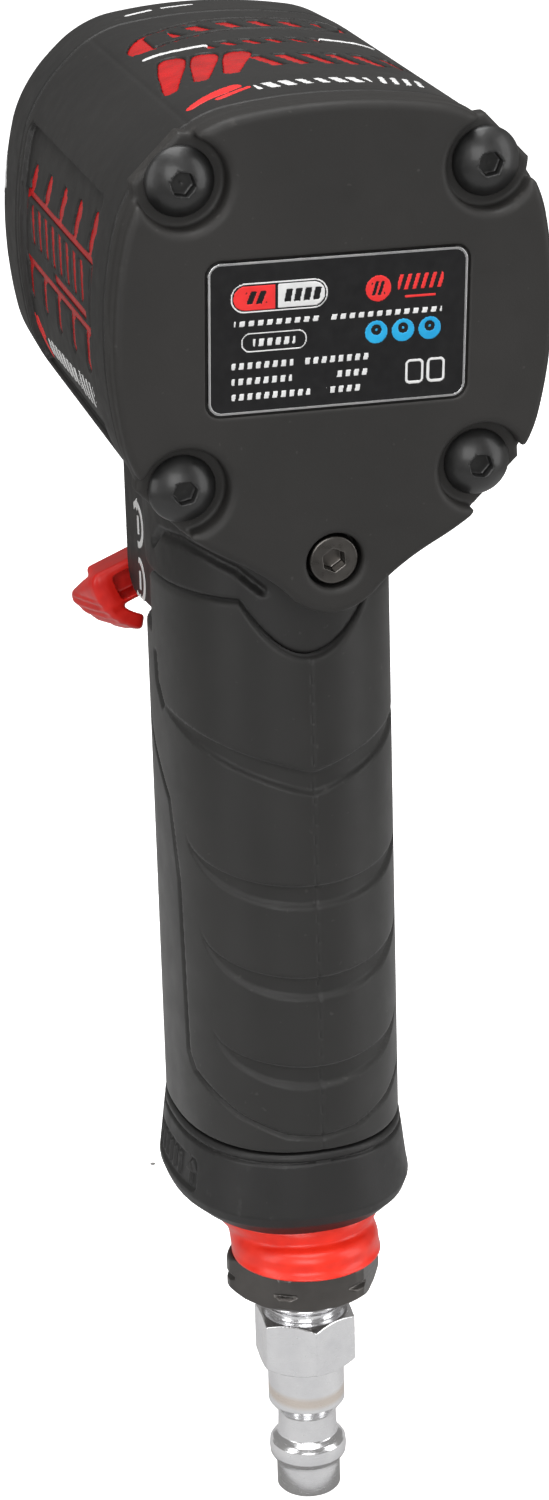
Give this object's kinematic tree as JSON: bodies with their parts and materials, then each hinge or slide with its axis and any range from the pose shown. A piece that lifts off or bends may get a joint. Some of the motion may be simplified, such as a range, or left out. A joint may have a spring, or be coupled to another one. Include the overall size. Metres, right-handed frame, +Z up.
{
  "type": "impact wrench",
  "caption": "Compact pistol-grip pneumatic impact wrench with square drive, twin hammer mechanism, vane motor, trigger, reverse lever and air inlet nipple.",
  "frame": {"origin": "centre of the square drive's end face, on the spindle axis", "axes": "-Y is the way the drive points, +Z up along the height, +X the tool's left"},
  "size_m": [0.0604, 0.1096, 0.2207],
  "materials": {
    "forged_steel": "phosphated and ground",
    "bright_steel": "ground",
    "dark_steel": "blackened, worn to metal at the edges",
    "black_screw": "black coated, satin",
    "gunmetal": "blackened steel, satin",
    "bronze": "sintered bronze",
    "motor_iron": "machined",
    "case_paint": "die cast, black painted, satin",
    "gasket": "pressed fibre",
    "vane_composite": "phenolic",
    "seal_rubber": "nitrile",
    "housing_composite": "glass-filled, fine grain, red-filled recesses",
    "cover_composite": "glass-filled, fine grain",
    "plate_film": "gloss black film with a silver border",
    "grip_rubber": "soft overmoulding, satin",
    "cap_plastic": "satin with fine grain",
    "red_plastic": "satin red",
    "collar_plastic": "satin bright red",
    "muffler_felt": "pressed felt",
    "nickel_plate": "satin nickel with a faint heat tint"
  },
  "bodies": {
    "tool": {"anvil_bushing": "bronze", "thrust_washer": "bright_steel", "hammer_case": "case_paint", "case_gasket": "gasket", "motor_cylinder": "motor_iron", "cylinder_dowel": "bright_steel", "front_end_plate": "motor_iron", "rear_end_plate": "motor_iron", "front_bearing_outer": "bright_steel", "rear_bearing_outer": "bright_steel", "wave_washer": "bright_steel", "motor_housing": "housing_composite", "cover_gasket": "gasket", "rear_cover": "cover_composite", "cover_screws": "black_screw", "chin_screw": "dark_steel", "rating_plate": "plate_film", "grip_sleeve": "grip_rubber", "throttle_spring": "bright_steel", "throttle_seat": "bronze", "valve_bushing": "motor_iron", "bushing_o_rings": "seal_rubber", "detent_ball": "bright_steel", "detent_spring": "bright_steel", "base_cap": "cap_plastic", "exhaust_collar": "collar_plastic", "muffler": "muffler_felt", "inlet_bushing": "gunmetal", "inlet_o_ring": "seal_rubber", "inlet_screen": "bright_steel", "air_nipple": "nickel_plate"},
    "anvil": {"anvil": "forged_steel", "friction_ring": "dark_steel", "friction_o_ring": "seal_rubber"},
    "motor": {"rotor": "bright_steel", "rotor_vanes": "vane_composite", "hammer_cage": "forged_steel", "hammer_pins": "bright_steel", "front_bearing_inner": "bright_steel", "rear_bearing_inner": "bright_steel"},
    "front_hammer": {"front_hammer": "forged_steel"},
    "rear_hammer": {"rear_hammer": "forged_steel"},
    "bearing_balls": {"bearing_balls": "bright_steel", "bearing_retainers": "bronze"},
    "trigger": {"trigger": "red_plastic", "trigger_pin": "bright_steel", "throttle_valve": "bright_steel"},
    "reverse_lever": {"reverse_lever": "red_plastic", "reverse_valve": "bright_steel"}
  },
  "joints": [
    {"name": "anvil_spin", "type": "hinge", "parent": "tool", "child": "anvil", "pos_m": [0, 0, 0], "axis": [0, 1, 0], "continuous": true},
    {"name": "motor_spin", "type": "hinge", "parent": "tool", "child": "motor", "pos_m": [0, 0, 0], "axis": [0, 1, 0], "continuous": true},
    {"name": "bearing_orbit", "type": "hinge", "parent": "tool", "child": "bearing_balls", "pos_m": [0, 0, 0], "axis": [0, 1, 0], "continuous": true},
    {"name": "front_hammer_rock", "type": "hinge", "parent": "motor", "child": "front_hammer", "pos_m": [0, 0.03, 0.0188], "axis": [0, 1, 0], "range_deg": [-6, 6]},
    {"name": "rear_hammer_rock", "type": "hinge", "parent": "motor", "child": "rear_hammer", "pos_m": [0, 0.03, -0.0188], "axis": [0, 1, 0], "range_deg": [-6, 6]},
    {"name": "trigger_pull", "type": "slide", "parent": "tool", "child": "trigger", "axis": [0, 0.9936, 0.1132], "range_m": [0, 0.0055], "stiffness_N_per_m": 900, "springref_m": -0.005, "deforming": ["throttle_spring"]},
    {"name": "reverse_turn", "type": "hinge", "parent": "tool", "child": "reverse_lever", "pos_m": [0, 0.04457, -0.05059], "axis": [0, -0.9936, -0.1132], "range_deg": [0, 44]}
  ],
  "couplings": [
    {"joint": "bearing_orbit", "follows": "motor_spin", "ratio": 0.4006}
  ]
}
